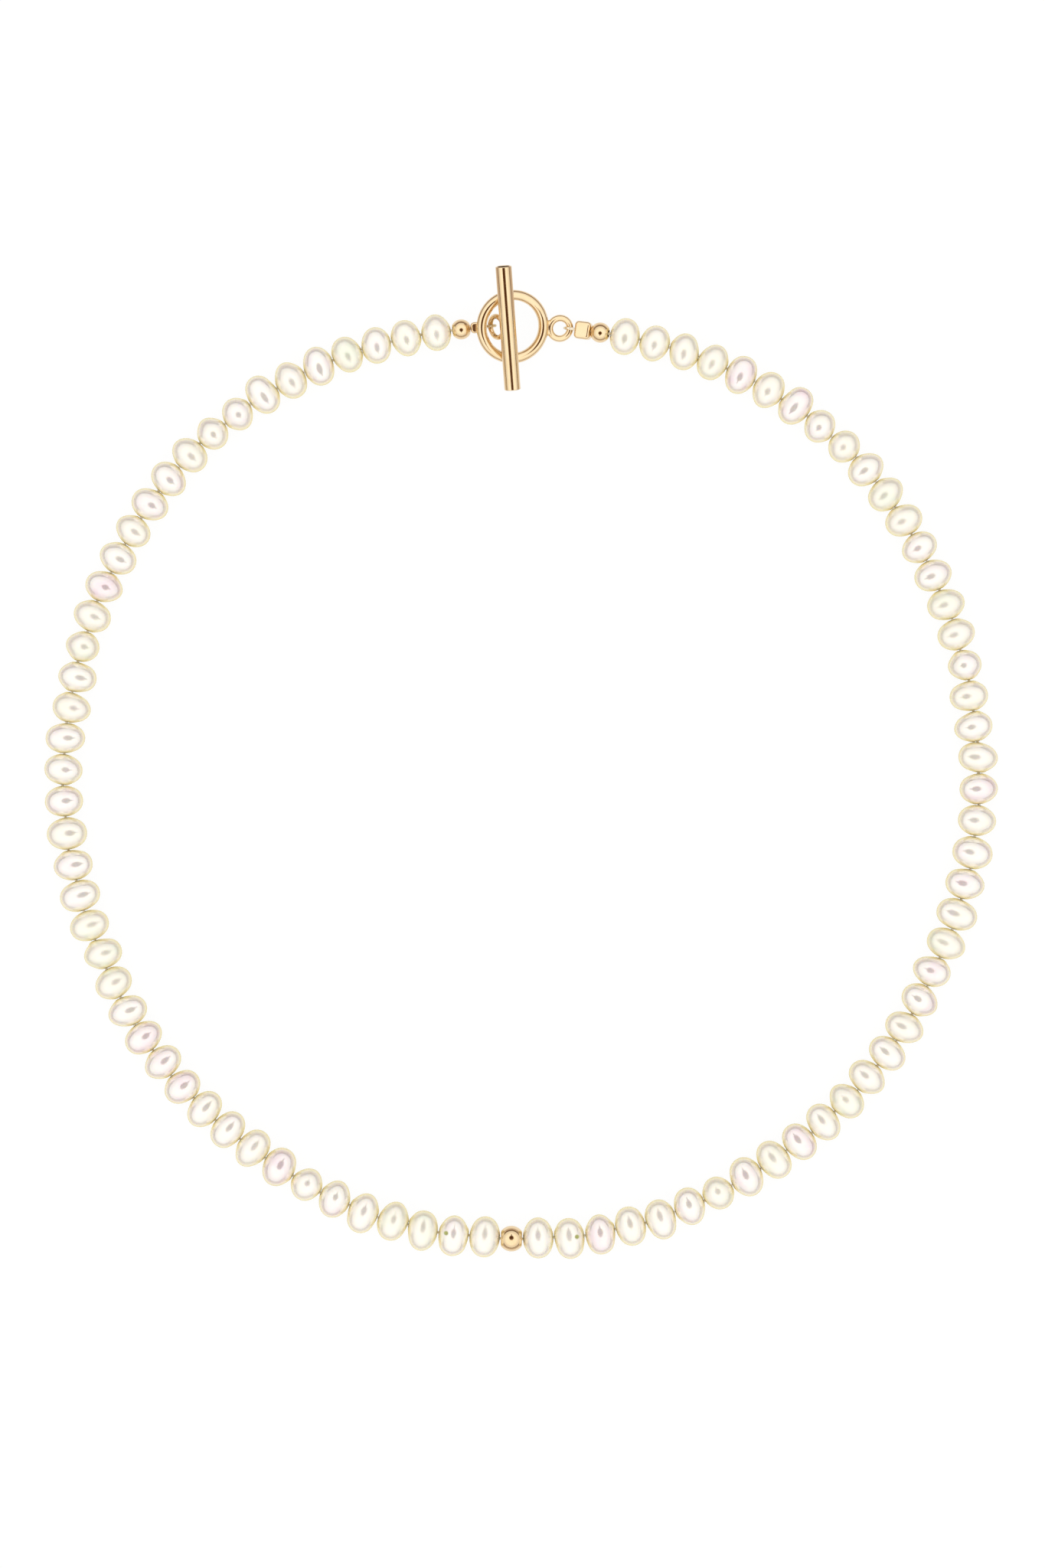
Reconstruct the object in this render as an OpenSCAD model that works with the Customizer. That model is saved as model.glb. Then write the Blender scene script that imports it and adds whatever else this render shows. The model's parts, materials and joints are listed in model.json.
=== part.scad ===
// Pearl necklace: one strand of drilled freshwater pearls on beading wire, with a gold
// bead at the front and a ring-and-bar toggle clasp, fastened, at the back.
// It lies flat on a table. +Z is up, +Y points to the clasp, and the origin is on the
// table under the middle of the necklace's box. Lengths are in millimetres.

/* [Strand] */
// Play between neighbouring pearls, which lets the strand bend
pearl_gap = 0.15; // [0.12:0.01:0.2]
// Diameter of the hole drilled through each pearl
pearl_hole_d = 0.8; // [0.7:0.05:1]
// Diameter of the beading wire
wire_d = 0.4; // [0.3:0.05:0.45]
// Most that a pearl leans out of square with the wire, in degrees
pearl_lean = 5; // [0:0.5:5]
// Roundness of a pearl's two far ends: their radius over half its length on the wire
pearl_end = 0.88; // [0.7:0.01:0.9]
// Distance from the front bead back to the middle of the necklace's box
front_to_middle = 64.3; // [60:0.1:70]

/* [Pearl sorts: length on the wire, reach outwards, reach inwards] */
// The fullest round pearl
large = [4.1, 2.85, 2.85]; // [2.3:0.05:4.5]
// A full pearl, a little smaller
full = [4.05, 2.75, 2.75]; // [2.3:0.05:4.5]
// The usual pearl
medium = [4.15, 2.65, 2.65]; // [2.3:0.05:4.5]
// A slimmer pearl
slim = [4, 2.55, 2.55]; // [2.3:0.05:4.5]
// A pearl longer on the wire than the rest
long = [4.35, 2.8, 2.8]; // [2.3:0.05:4.5]
// A small pearl, nearly a ball
ball = [4.15, 2.35, 2.35]; // [2.3:0.05:4.5]
// An egg with its point towards the outside of the loop
egg_out = [4.05, 3.1, 2.55]; // [2.3:0.05:4.5]
// An egg with its point towards the inside
egg_in = [4.1, 2.6, 2.85]; // [2.3:0.05:4.5]
// A drop with its point towards the inside
drop_in = [4.05, 2.35, 3]; // [2.3:0.05:4.5]

/* [Gold beads] */
// Diameter of the front bead
front_bead_d = 3.5; // [3:0.05:4]
// Length of the front bead on the wire
front_bead_l = 2.85; // [2.6:0.05:3]
// Diameter of each end bead
end_bead_d = 2.75; // [2.4:0.05:3]
// Length of each end bead on the wire
end_bead_l = 2.4; // [2.2:0.05:2.4]
// Wall of the hollow beads
bead_wall = 0.22; // [0.15:0.01:0.25]
// Diameter of the holes in the beads
bead_hole_d = 1; // [0.95:0.05:1.1]

/* [Crimp tubes] */
// Length of each crimp tube
crimp_l = 2.2; // [1.8:0.1:2.2]
// Width of the right crimp tube, which is pressed flatter
right_crimp_w = 2.4; // [2:0.05:2.5]
// Height of the right crimp tube
right_crimp_h = 1.8; // [1.6:0.05:1.9]
// Width of the left crimp tube, which is pressed square
left_crimp_w = 1.5; // [1.4:0.05:1.7]
// Height of the left crimp tube
left_crimp_h = 1.5; // [1.4:0.05:1.6]
// Radius of the crimp tubes' rounded edges
crimp_edge_r = 0.4; // [0.3:0.05:0.5]

/* [Toggle ring] */
// Outside diameter of the ring
ring_d = 10; // [9.6:0.1:10.4]
// Thickness of the ring's wire
ring_wire = 1.4; // [1.2:0.1:1.5]
// Outside diameter of the ring's small eye
ring_eye_d = 3.7; // [3.5:0.1:3.8]
// Thickness of the eye's wire
ring_eye_wire = 0.9; // [0.8:0.05:1]
// How far the ring is raised on its left side, in degrees
ring_tilt = 14; // [12:0.5:16]
// How far the ring is raised on its far side, in degrees
ring_roll = 10; // [6:0.5:11]

/* [Toggle bar] */
// Length of the bar
bar_l = 16.8; // [15:0.1:18]
// Outside diameter of the bar
bar_d = 2.2; // [2:0.05:2.3]
// Wall of the hollow bar
bar_wall = 0.25; // [0.2:0.05:0.4]
// Turn of the bar across the ring, in degrees
bar_turn = 8; // [0:1:10]
// Outside diameter of the bar's eye
bar_eye_d = 3.6; // [3.4:0.1:3.8]
// Thickness of the bar eye's wire
bar_eye_wire = 0.7; // [0.6:0.05:0.75]
// How steeply the bar's eye drops through the ring, in degrees
bar_eye_drop = 66; // [60:1:72]

/* [Hidden] */
// The wire's line on the table from the front bead round the right side to the clasp,
// in x and y from the front bead. The left side is its mirror image.
ROUTE = [
    [0, 0], [12, 1], [23.5, 4.5], [34, 10.5], [43.5, 18], [51, 27],
    [56.5, 37.5], [60.5, 49], [62, 61], [61, 73], [58, 84.5], [53, 95],
    [46, 105], [37, 112.5], [26.5, 118.5], [14.5, 122], [2, 123.5],
];

// The pearls of one side in order, from the front bead to the clasp
ORDER = [
    large, egg_out, egg_out, full, egg_out, medium, ball, long, large, full,
    full, medium, egg_in, full, full, medium, drop_in, full, large, egg_in,
    long, medium, medium, full, drop_in, drop_in, ball, medium, medium, medium,
    slim, medium, medium, medium, ball, ball, egg_out, medium, full, slim,
    slim, slim, slim,
];

PEARLS = len(ORDER);
PAIRS = ceil(PEARLS / 2);

// Where the middle of the ring is, measured from the front bead
RING_X = -2.45;
CLASP_Y = 123.25;
// How deep each eye is let into the ring or the bar that it is soldered to
RING_EYE_SINK = 0.25;
BAR_EYE_SINK = 0.1;
// How far the middle of the bar lies from the middle of the ring, and its play on the ring
BAR_SHIFT = 1.1;
BAR_PLAY = 0.15;

// Play of a wire loop in its eye, and of the two wires in a crimp tube
LOOP_PLAY = 0.05;
WIRE_PLAY = 0.02;
// Half the spacing of the two wires that lie one over the other in a crimp tube
WIRE_STEP = wire_d / 2 + WIRE_PLAY;

// Where each piece starts on the straight end of the wire, counted from the last gap
BEAD_START = 0.13;
BEAD_PLAY = 0.07;
CRIMP_START = BEAD_START + end_bead_l + BEAD_PLAY;
CRIMP_END = CRIMP_START + crimp_l;
// Where the wire rises to make room for its own end, and where that end stops
WIRE_RISE = 0.8;
WIRE_TIP = 0.53;

// Turns each pearl's number into a lean that follows no pattern
LEAN_STEP = 137;

// Straight pieces in each span of the wire's line, and sides of the wire
CURVE_STEPS = 12;
WIRE_SIDES = 8;
// Degrees from one point of a wire loop to the next, and from its tip to where it opens
LOOP_TURN = 30;
LOOP_OPEN = 120;
// Facets of large and of small round shapes, and of a pearl's side and each of its ends
ROUND = 48;
FINE = 24;
SIDE_STEPS = 9;
END_STEPS = 5;

// The eye wire's middle where the ring's eye reaches furthest. It lies on the wire loop.
EYE_REACH = ring_d / 2 + ring_eye_d - RING_EYE_SINK - ring_eye_wire / 2;
RING_Z = ring_eye_wire / 2 + wire_d + 2 * LOOP_PLAY + EYE_REACH * sin(ring_tilt);

BAR_AT = [-BAR_SHIFT, 0, (ring_wire + bar_d) / 2 + BAR_PLAY];
BAR_EYE_R = (bar_eye_d - bar_eye_wire) / 2;
BAR_EYE_AT = bar_d / 2 + BAR_EYE_R - BAR_EYE_SINK;

// ---- Places worked out from the sizes above ----

function reversed(list) = [for (i = [len(list) - 1 : -1 : 0]) list[i]];
function mirrored(p) = [-p.x, p.y];
function unit(v) = v / norm(v);
function turned_x(p, a) = [p.x, p.y * cos(a) - p.z * sin(a), p.y * sin(a) + p.z * cos(a)];
function turned_y(p, a) = [p.x * cos(a) + p.z * sin(a), p.y, p.z * cos(a) - p.x * sin(a)];
function turned_z(p, a) = [p.x * cos(a) - p.y * sin(a), p.x * sin(a) + p.y * cos(a), p.z];

// A smooth curve through the route's points, in CURVE_STEPS straight pieces a span
ROUTE_LAST = len(ROUTE) - 1;
ROUTE_ENDS = concat([mirrored(ROUTE[1])], ROUTE, [2 * ROUTE[ROUTE_LAST] - ROUTE[ROUTE_LAST - 1]]);
function on_span(a, b, c, d, t) =
    0.5 * (2 * b + (c - a) * t + (2 * a - 5 * b + 4 * c - d) * t * t
        + (3 * b - a - 3 * c + d) * t * t * t);
CURVE = [
    for (i = [0 : ROUTE_LAST - 1])
        for (k = [0 : CURVE_STEPS - 1])
            let (t = k / CURVE_STEPS)
            on_span(ROUTE_ENDS[i], ROUTE_ENDS[i + 1], ROUTE_ENDS[i + 2], ROUTE_ENDS[i + 3], t)
];
CURVE_LAST = len(CURVE) - 1;
CURVE_S = [
    for (i = 0, s = 0; i <= CURVE_LAST;
        i = i + 1, s = s + norm(CURVE[min(i, CURVE_LAST)] - CURVE[i - 1])) s
];

// The point of the curve that is s along it
function curve_at(s) =
    let (i = min(len([for (c = CURVE_S) if (c <= s) c]), CURVE_LAST) - 1)
    let (t = (s - CURVE_S[i]) / (CURVE_S[i + 1] - CURVE_S[i]))
    CURVE[i] + t * (CURVE[i + 1] - CURVE[i]);

function sum_lengths(n) = n == 0 ? 0 : ORDER[n - 1][0] + pearl_gap + sum_lengths(n - 1);

// Height of the wire, so that the thickest pearls rest on the table. A pearl is as thick
// as it is long on the wire.
WIRE_H = max([for (sort = ORDER) sort[0]]) / 2;

// The wire's corner in the gap after each pair of pearls: 0 is beside the front bead
function gap_s(n) = (front_bead_l + pearl_gap) / 2 + sum_lengths(min(2 * n, PEARLS));
GAPS = [
    for (n = [0 : PAIRS])
        let (p = curve_at(gap_s(n)))
        [p.x, p.y - front_to_middle, WIRE_H]
];

// From the clasp ring's own flat frame to the necklace's frame
RING_AT = [RING_X, CLASP_Y - front_to_middle, RING_Z];
function from_ring(p) = RING_AT + turned_y(turned_x(p, ring_roll), ring_tilt);

// The middle of each wire loop is in the middle of the eye wire that it goes round
RIGHT_LOOP = from_ring([EYE_REACH, 0, 0]);
LEFT_LOOP = from_ring(BAR_AT
    + turned_z(turned_y([-BAR_EYE_AT - BAR_EYE_R, 0, 0], -bar_eye_drop), bar_turn));
RIGHT_LOOP_R = ring_eye_wire / 2 + wire_d / 2 + LOOP_PLAY;
LEFT_LOOP_R = bar_eye_wire / 2 + wire_d / 2 + 2 * LOOP_PLAY;

RIGHT_GAPS = GAPS;
LEFT_GAPS = [for (p = GAPS) [-p.x, p.y, p.z]];

echo(gaps = GAPS);
echo(right_loop = RIGHT_LOOP, left_loop = LEFT_LOOP, ring = RING_AT, bar = from_ring(BAR_AT));
echo(ring_normal = from_ring([0, 0, 1]) - RING_AT);
echo(bar_way = from_ring(turned_z([0, 1, 0], bar_turn)) - RING_AT);
echo(pearl_strand_length = 2 * gap_s(PAIRS));

// ---- Pearls ----

function on_circle(at, r, a) = at + r * [cos(a), sin(a)];

// Half of a pearl's oval outline, from its long axis out: two round ends that run
// smoothly into a flatter side
module pearl_outline(half_w, half_l) {
    end_r = pearl_end * half_l;
    end_y = half_w - end_r;
    side_r = (end_y * end_y + half_l * half_l - end_r * end_r) / (2 * (half_l - end_r));
    meet = asin(end_y / (side_r - end_r));
    end_turn = [for (k = [0 : END_STEPS]) 90 + (meet - 90) * k / END_STEPS];
    side_turn = [for (k = [1 : SIDE_STEPS - 1]) meet - 2 * meet * k / SIDE_STEPS];
    polygon(concat(
        [for (a = end_turn) on_circle([0, end_y], end_r, a)],
        [for (a = side_turn) on_circle([half_l - side_r, 0], side_r, a)],
        [for (a = reversed(end_turn)) on_circle([0, -end_y], end_r, -a)]
    ));
}

// One pearl, with the wire along X and the outside of the loop towards -Y. It lies flat,
// with its long axis across the wire.
module pearl(sort, lean) {
    difference() {
        translate([0, (sort[2] - sort[1]) / 2, 0])
            rotate([0, 90, 90 + lean])
                rotate_extrude($fn = ROUND)
                    pearl_outline((sort[1] + sort[2]) / 2, sort[0] / 2);
        rotate([0, 90, 0])
            cylinder(d = pearl_hole_d, h = 2 * sort[0], center = true, $fn = FINE);
    }
}

// The pearls on one straight stretch of wire, from the gap before them to the gap after
module pearls(n) {
    from = GAPS[n - 1];
    way = GAPS[n] - from;
    first = 2 * n - 2;
    last = min(2 * n, PEARLS) - 1;
    color("ivory")
        translate(from)
            rotate([0, 0, atan2(way.y, way.x)])
                for (i = [first : last])
                    translate([pearl_gap / 2 + sum_lengths(i) - sum_lengths(first) + ORDER[i][0] / 2, 0, 0])
                        pearl(ORDER[i], pearl_lean * sin(LEAN_STEP * i));
}

module pearls_right(n) {
    pearls(n);
}

module pearls_left(n) {
    mirror([1, 0, 0])
        pearls(n);
}

// ---- Gold beads and crimp tubes ----

// The outline of a ball of radius r, from its axis out, with its two ends cut flat
module ball_outline(r, half_l) {
    intersection() {
        circle(r = r, $fn = 4 * ROUND);
        translate([0, -half_l])
            square([r, 2 * half_l]);
    }
}

// A hollow bead with its hole along X
module bead(d, l) {
    color("gold")
        rotate([0, 90, 0])
            rotate_extrude($fn = ROUND)
                difference() {
                    ball_outline(d / 2, l / 2);
                    ball_outline(d / 2 - bead_wall, l / 2 - bead_wall);
                    translate([0, -l])
                        square([bead_hole_d / 2, 2 * l]);
                }
}

// A pressed crimp tube along X, with a slot that holds the two wires one over the other
module crimp(w, h) {
    slot_w = wire_d + 2 * WIRE_PLAY;
    flat_w = w - 2 * crimp_edge_r;
    flat_h = h - 2 * crimp_edge_r;
    color("goldenrod")
        rotate([0, 90, 0])
            linear_extrude(height = crimp_l)
                difference() {
                    union() {
                        square([h, flat_w], center = true);
                        square([flat_h, w], center = true);
                        for (x = [-flat_h / 2, flat_h / 2])
                            for (y = [-flat_w / 2, flat_w / 2])
                                translate([x, y])
                                    circle(r = crimp_edge_r, $fn = FINE);
                    }
                    for (x = [-1, 1])
                        translate([x * WIRE_STEP, 0])
                            circle(d = slot_w, $fn = FINE);
                    square([2 * WIRE_STEP, slot_w], center = true);
                }
}

// Puts a piece on the straight end of the wire, t from the last gap
module on_wire_end(from, to, t) {
    way = to - from;
    translate(from + t * unit(way))
        rotate([0, atan2(-way.z, norm([way.x, way.y])), atan2(way.y, way.x)])
            children();
}

module front_bead() {
    translate([0, -front_to_middle, WIRE_H])
        bead(front_bead_d, front_bead_l);
}

module right_end_bead() {
    on_wire_end(RIGHT_GAPS[PAIRS], RIGHT_LOOP, BEAD_START + end_bead_l / 2)
        bead(end_bead_d, end_bead_l);
}

module left_end_bead() {
    on_wire_end(LEFT_GAPS[PAIRS], LEFT_LOOP, BEAD_START + end_bead_l / 2)
        bead(end_bead_d, end_bead_l);
}

module right_crimp_tube() {
    on_wire_end(RIGHT_GAPS[PAIRS], RIGHT_LOOP, CRIMP_START)
        crimp(right_crimp_w, right_crimp_h);
}

module left_crimp_tube() {
    on_wire_end(LEFT_GAPS[PAIRS], LEFT_LOOP, CRIMP_START)
        crimp(left_crimp_w, left_crimp_h);
}

// ---- Toggle clasp, made in the ring's own flat frame ----

module in_ring_frame() {
    translate(RING_AT)
        rotate([ring_roll, ring_tilt, 0])
            children();
}

module round_ring(d, wire) {
    rotate_extrude($fn = 2 * ROUND)
        translate([(d - wire) / 2, 0])
            circle(d = wire, $fn = FINE);
}

module toggle_ring() {
    color("gold")
        in_ring_frame()
            round_ring(ring_d, ring_wire);
}

// The eye is cut to sit on the ring, where it is soldered
module toggle_ring_eye() {
    color("gold")
        in_ring_frame()
            difference() {
                translate([EYE_REACH - (ring_eye_d - ring_eye_wire) / 2, 0, 0])
                    round_ring(ring_eye_d, ring_eye_wire);
                round_ring(ring_d, ring_wire);
            }
}

// Along Y, with the eye's side towards -X
module in_bar_frame() {
    in_ring_frame()
        translate(BAR_AT)
            rotate([0, 0, bar_turn])
                children();
}

module bar_solid(d, l) {
    rotate([90, 0, 0])
        cylinder(d = d, h = l, center = true, $fn = ROUND);
}

module toggle_bar() {
    color("gold")
        in_bar_frame()
            difference() {
                bar_solid(bar_d, bar_l);
                bar_solid(bar_d - 2 * bar_wall, bar_l + 1);
            }
}

module toggle_bar_eye() {
    color("gold")
        in_bar_frame()
            difference() {
                rotate([0, -bar_eye_drop, 0])
                    translate([-BAR_EYE_AT, 0, 0])
                        round_ring(bar_eye_d, bar_eye_wire);
                bar_solid(bar_d, bar_l);
            }
}

// ---- Beading wire: one length, looped round an eye and doubled back at each end ----

// The end of the wire in its own upright plane, as distances along it and across it:
// from the last gap through the crimp tube, round the loop and back to its tip
function wire_end_plan(loop_t, loop_r) = concat(
    [[WIRE_RISE, WIRE_STEP], [CRIMP_END, WIRE_STEP]],
    [for (a = [LOOP_OPEN : -LOOP_TURN : -LOOP_OPEN]) [loop_t + loop_r * cos(a), loop_r * sin(a)]],
    [[CRIMP_END, -WIRE_STEP], [WIRE_TIP, -WIRE_STEP]]
);

function level_side(way) = unit([-way.y, way.x, 0]);

function wire_end(from, loop, loop_r) =
    let (way = unit(loop - from))
    let (over = cross(way, level_side(way)))
    [for (q = wire_end_plan(norm(loop - from), loop_r)) from + q[0] * way + q[1] * over];

RIGHT_END = wire_end(RIGHT_GAPS[PAIRS], RIGHT_LOOP, RIGHT_LOOP_R);
LEFT_END = wire_end(LEFT_GAPS[PAIRS], LEFT_LOOP, LEFT_LOOP_R);
WIRE = concat(reversed(LEFT_END), reversed(LEFT_GAPS), RIGHT_GAPS, RIGHT_END);
WIRE_LAST = len(WIRE) - 1;

// The wire's direction at each point, halfway between the stretches that meet there
function way_at(i) = unit(
    (i == 0 ? [0, 0, 0] : unit(WIRE[i] - WIRE[i - 1]))
    + (i == WIRE_LAST ? [0, 0, 0] : unit(WIRE[i + 1] - WIRE[i]))
);

// The level direction across the wire, kept the same all round each end loop
function side_at(i) =
    i < len(LEFT_END) ? level_side(LEFT_GAPS[PAIRS] - LEFT_LOOP)
    : i > WIRE_LAST - len(RIGHT_END) ? level_side(RIGHT_LOOP - RIGHT_GAPS[PAIRS])
    : level_side(way_at(i));

function wire_ring(i) =
    let (side = side_at(i))
    let (over = cross(way_at(i), side))
    [
        for (k = [0 : WIRE_SIDES - 1])
            let (a = 360 * (k + 0.5) / WIRE_SIDES)
            WIRE[i] + wire_d / 2 * (cos(a) * side + sin(a) * over)
    ];

module wire() {
    points = [for (i = [0 : WIRE_LAST]) each wire_ring(i)];
    walls = [
        for (i = [0 : WIRE_LAST - 1])
            for (k = [0 : WIRE_SIDES - 1])
                let (a = i * WIRE_SIDES + k)
                let (b = i * WIRE_SIDES + (k + 1) % WIRE_SIDES)
                each [[a, a + WIRE_SIDES, b], [b, a + WIRE_SIDES, b + WIRE_SIDES]]
    ];
    start = [for (k = [0 : WIRE_SIDES - 1]) k];
    end = [for (k = [WIRE_SIDES - 1 : -1 : 0]) WIRE_LAST * WIRE_SIDES + k];
    color("silver")
        polyhedron(points, concat(walls, [start, end]));
}

// ---- Nodes ----

function pearls_name(side, n) = str("pearls_", side, "_", n < 10 ? "0" : "", n);

wire();
front_bead();
for (n = [1 : PAIRS])
    pearls_right(n);
for (n = [1 : PAIRS])
    pearls_left(n);
right_end_bead();
left_end_bead();
right_crimp_tube();
left_crimp_tube();
toggle_ring();
toggle_ring_eye();
toggle_bar();
toggle_bar_eye();
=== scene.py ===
"""Pearl necklace with a ring-and-bar clasp: nacre, gold and beading wire round the packed frame."""

import json
import math
import random

import bmesh
import bpy
from bpy.props import FloatProperty, FloatVectorProperty, IntProperty, PointerProperty
from bpy.types import Operator, Panel, PropertyGroup
from mathutils import Matrix, Vector, noise


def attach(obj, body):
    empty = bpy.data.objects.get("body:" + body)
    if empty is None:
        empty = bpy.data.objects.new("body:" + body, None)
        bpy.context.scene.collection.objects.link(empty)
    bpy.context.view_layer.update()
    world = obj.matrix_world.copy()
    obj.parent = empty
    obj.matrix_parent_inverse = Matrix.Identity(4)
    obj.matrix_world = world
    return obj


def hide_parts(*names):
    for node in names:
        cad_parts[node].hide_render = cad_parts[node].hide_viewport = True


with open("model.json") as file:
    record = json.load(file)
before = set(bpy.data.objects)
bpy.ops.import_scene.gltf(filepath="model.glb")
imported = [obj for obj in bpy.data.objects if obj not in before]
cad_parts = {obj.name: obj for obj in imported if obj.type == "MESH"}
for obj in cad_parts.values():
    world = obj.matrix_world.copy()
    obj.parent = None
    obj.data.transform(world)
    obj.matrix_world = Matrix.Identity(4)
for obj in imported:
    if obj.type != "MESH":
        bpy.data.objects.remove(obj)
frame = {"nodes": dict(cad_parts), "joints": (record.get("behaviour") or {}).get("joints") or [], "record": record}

bl_info = {
    "name": "Pearl Necklace",
    "version": (1, 0, 0),
    "blender": (4, 5, 0),
    "location": "View3D > Sidebar > Necklace",
    "description": "Builds a strand of drilled freshwater pearls with a gold ring-and-bar clasp",
    "category": "Add Mesh",
}

MM = 0.001
PER_MM = 1000.0

# Meshes are made in millimetres, and points closer than this are one
MERGE = 1e-4

# ---- What the frame says ----

JOINTS = {joint["name"]: joint for joint in frame["joints"]}
SIDES = ("right", "left")
PAIRS = 22
PEARLS = 43
UP = Vector((0, 0, 1))

# Each sort of pearl: its length on the wire, reach outwards and reach inwards, in millimetres
SORTS = {
    "large": (4.1, 2.85, 2.85),
    "full": (4.05, 2.75, 2.75),
    "medium": (4.15, 2.65, 2.65),
    "slim": (4.0, 2.55, 2.55),
    "long": (4.35, 2.8, 2.8),
    "ball": (4.15, 2.35, 2.35),
    "egg_out": (4.05, 3.1, 2.55),
    "egg_in": (4.1, 2.6, 2.85),
    "drop_in": (4.05, 2.35, 3.0),
}

# The pearls of one side in order, from the front bead to the clasp
ORDER = (
    "large egg_out egg_out full egg_out medium ball long large full "
    "full medium egg_in full full medium drop_in full large egg_in "
    "long medium medium full drop_in drop_in ball medium medium medium "
    "slim medium medium medium ball ball egg_out medium full slim "
    "slim slim slim"
).split()

PEARL_GAP = 0.15
PEARL_LEAN = 5.0
LEAN_STEP = 137

# How each end of the wire runs, in millimetres along it from the last gap and across it,
# and in degrees round its loop
WIRE_RISE = 0.8
WIRE_TIP = 0.53
WIRE_STEP = 0.22
CRIMP_START = 2.6
CRIMP_LENGTH = 2.2
CRIMP_END = CRIMP_START + CRIMP_LENGTH
LOOP_OPEN = 120
LOOP_TURN = 10
# Play between a loop of wire and the eye in it
LOOP_PLAY = {"right": 0.05, "left": 0.1}


def joint_at(name):
    """A joint's place in millimetres."""
    return Vector(JOINTS[name]["pos_m"]) * PER_MM


def corner(side, n):
    """The wire's corner in the gap after pair n of a side, in millimetres."""
    name = f"{side}_bend_{n:02d}"
    return joint_at(name if name in JOINTS else f"{side}_fold_{n:02d}")


def node_points(name):
    """A CAD node's own points in millimetres, each one once."""
    vertices = frame["nodes"][name].data.vertices
    return [Vector(p) for p in {tuple(round(x * PER_MM, 4) for x in v.co) for v in vertices}]


# ---- Colours and nodes ----


def linear(code):
    """The linear colour, with alpha, of an sRGB hex code."""
    parts = [int(code[i : i + 2], 16) / 255 for i in (1, 3, 5)]
    return (*[c / 12.92 if c <= 0.04045 else ((c + 0.055) / 1.055) ** 2.4 for c in parts], 1.0)


def add_node(tree, kind, inputs=None, links=None, **settings):
    """Adds one node: its own settings, the values of its inputs, and the outputs that feed them."""
    made = tree.nodes.new(kind)
    for name, value in settings.items():
        setattr(made, name, value)
    for name, value in (inputs or {}).items():
        made.inputs[name].default_value = value
    for name, source in (links or {}).items():
        tree.links.new(source, made.inputs[name])
    return made


def set_ramp(ramp, stops):
    """Gives a colour ramp its stops, each a position and a linear colour."""
    elements = ramp.color_ramp.elements
    while len(elements) > 1:
        elements.remove(elements[-1])
    elements[0].position, elements[0].color = stops[0]
    for position, colour in stops[1:]:
        elements.new(position).color = colour


def new_material(name):
    """An empty node material and its tree."""
    material = bpy.data.materials.new(name)
    material.use_nodes = True
    material.node_tree.nodes.clear()
    return material, material.node_tree


def close_material(tree, shader):
    """Joins the shader to the material's output."""
    add_node(tree, "ShaderNodeOutputMaterial", links={"Surface": shader})


# ---- Materials ----


def nacre_material(look):
    """Freshwater nacre, buffed after drilling: a milky body under clear layers, so it glows softly,
    carries pink and green overtones, and shows a sharp light over a satin one. Its low sides carry a painted cream
    reflection."""
    material, tree = new_material("freshwater_nacre")
    place = add_node(tree, "ShaderNodeTexCoord").outputs["Object"]
    overtone = add_node(tree, "ShaderNodeAttribute", attribute_name="overtone").outputs["Fac"]
    painted_rim = add_node(tree, "ShaderNodeAttribute", attribute_name="painted_rim").outputs["Fac"]
    pit = add_node(tree, "ShaderNodeAttribute", attribute_name="pit").outputs["Fac"]
    # Clouds of overtone a little smaller than a pearl
    cloud = add_node(
        tree,
        "ShaderNodeTexNoise",
        inputs={"Scale": PER_MM / 3.0, "Detail": 3.0, "Roughness": 0.5},
        links={"Vector": place},
    ).outputs["Fac"]
    hue = add_node(tree, "ShaderNodeMath", operation="ADD", links={0: cloud, 1: overtone}).outputs[0]
    hue = add_node(tree, "ShaderNodeMath", operation="MULTIPLY", inputs={1: 0.5}, links={0: hue}).outputs[0]
    body = add_node(tree, "ShaderNodeValToRGB", links={"Fac": hue})
    set_ramp(
        body,
        [
            (0.22, (*look.pink, 1.0)),
            (0.42, (*look.cream, 1.0)),
            (0.6, (*look.ivory, 1.0)),
            (0.78, (*look.green, 1.0)),
        ],
    )
    # Painted reflection: the low sides turn a warmer cream, standing in for the lit card seen in the rim
    toned = add_node(
        tree,
        "ShaderNodeMix",
        data_type="RGBA",
        inputs={"B": (*look.painted_rim, 1.0)},
        links={"Factor": painted_rim, "A": body.outputs["Color"]},
    )
    pitted = add_node(
        tree,
        "ShaderNodeMix",
        data_type="RGBA",
        inputs={"B": (*look.pit, 1.0)},
        links={"Factor": pit, "A": toned.outputs["Result"]},
    )
    # The steps where layers of nacre end, a tenth of a millimetre apart and drawn coarser to show
    growth = add_node(
        tree,
        "ShaderNodeTexNoise",
        inputs={"Scale": PER_MM / 1.5, "Detail": 3.0, "Roughness": 0.5, "Distortion": 0.6},
        links={"Vector": place},
    ).outputs["Fac"]
    bump = add_node(
        tree,
        "ShaderNodeBump",
        inputs={"Strength": 0.3, "Distance": 0.05 * MM},
        links={"Height": growth},
    ).outputs["Normal"]
    satin = add_node(
        tree,
        "ShaderNodeMapRange",
        inputs={"From Min": 0.2, "From Max": 0.8, "To Min": look.gloss - 0.08, "To Max": look.gloss + 0.08},
        links={"Value": overtone},
    ).outputs["Result"]
    shader = add_node(
        tree,
        "ShaderNodeBsdfPrincipled",
        inputs={
            "IOR": 1.6,
            "Metallic": 0.4,
            "Specular Tint": linear("#E9DA9E"),
            "Subsurface Weight": 0.3,
            "Subsurface Radius": (1.0, 0.8, 0.5),
            "Subsurface Scale": 0.5 * MM,
            "Coat Weight": 0.4,
            "Coat Roughness": 0.06,
            "Coat IOR": 1.5,
            "Sheen Weight": 0.1,
            "Sheen Roughness": 0.3,
            "Sheen Tint": linear("#E6D37E"),
        },
        links={"Base Color": pitted.outputs["Result"], "Roughness": satin, "Normal": bump},
    )
    close_material(tree, shader.outputs["BSDF"])
    return material


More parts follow.
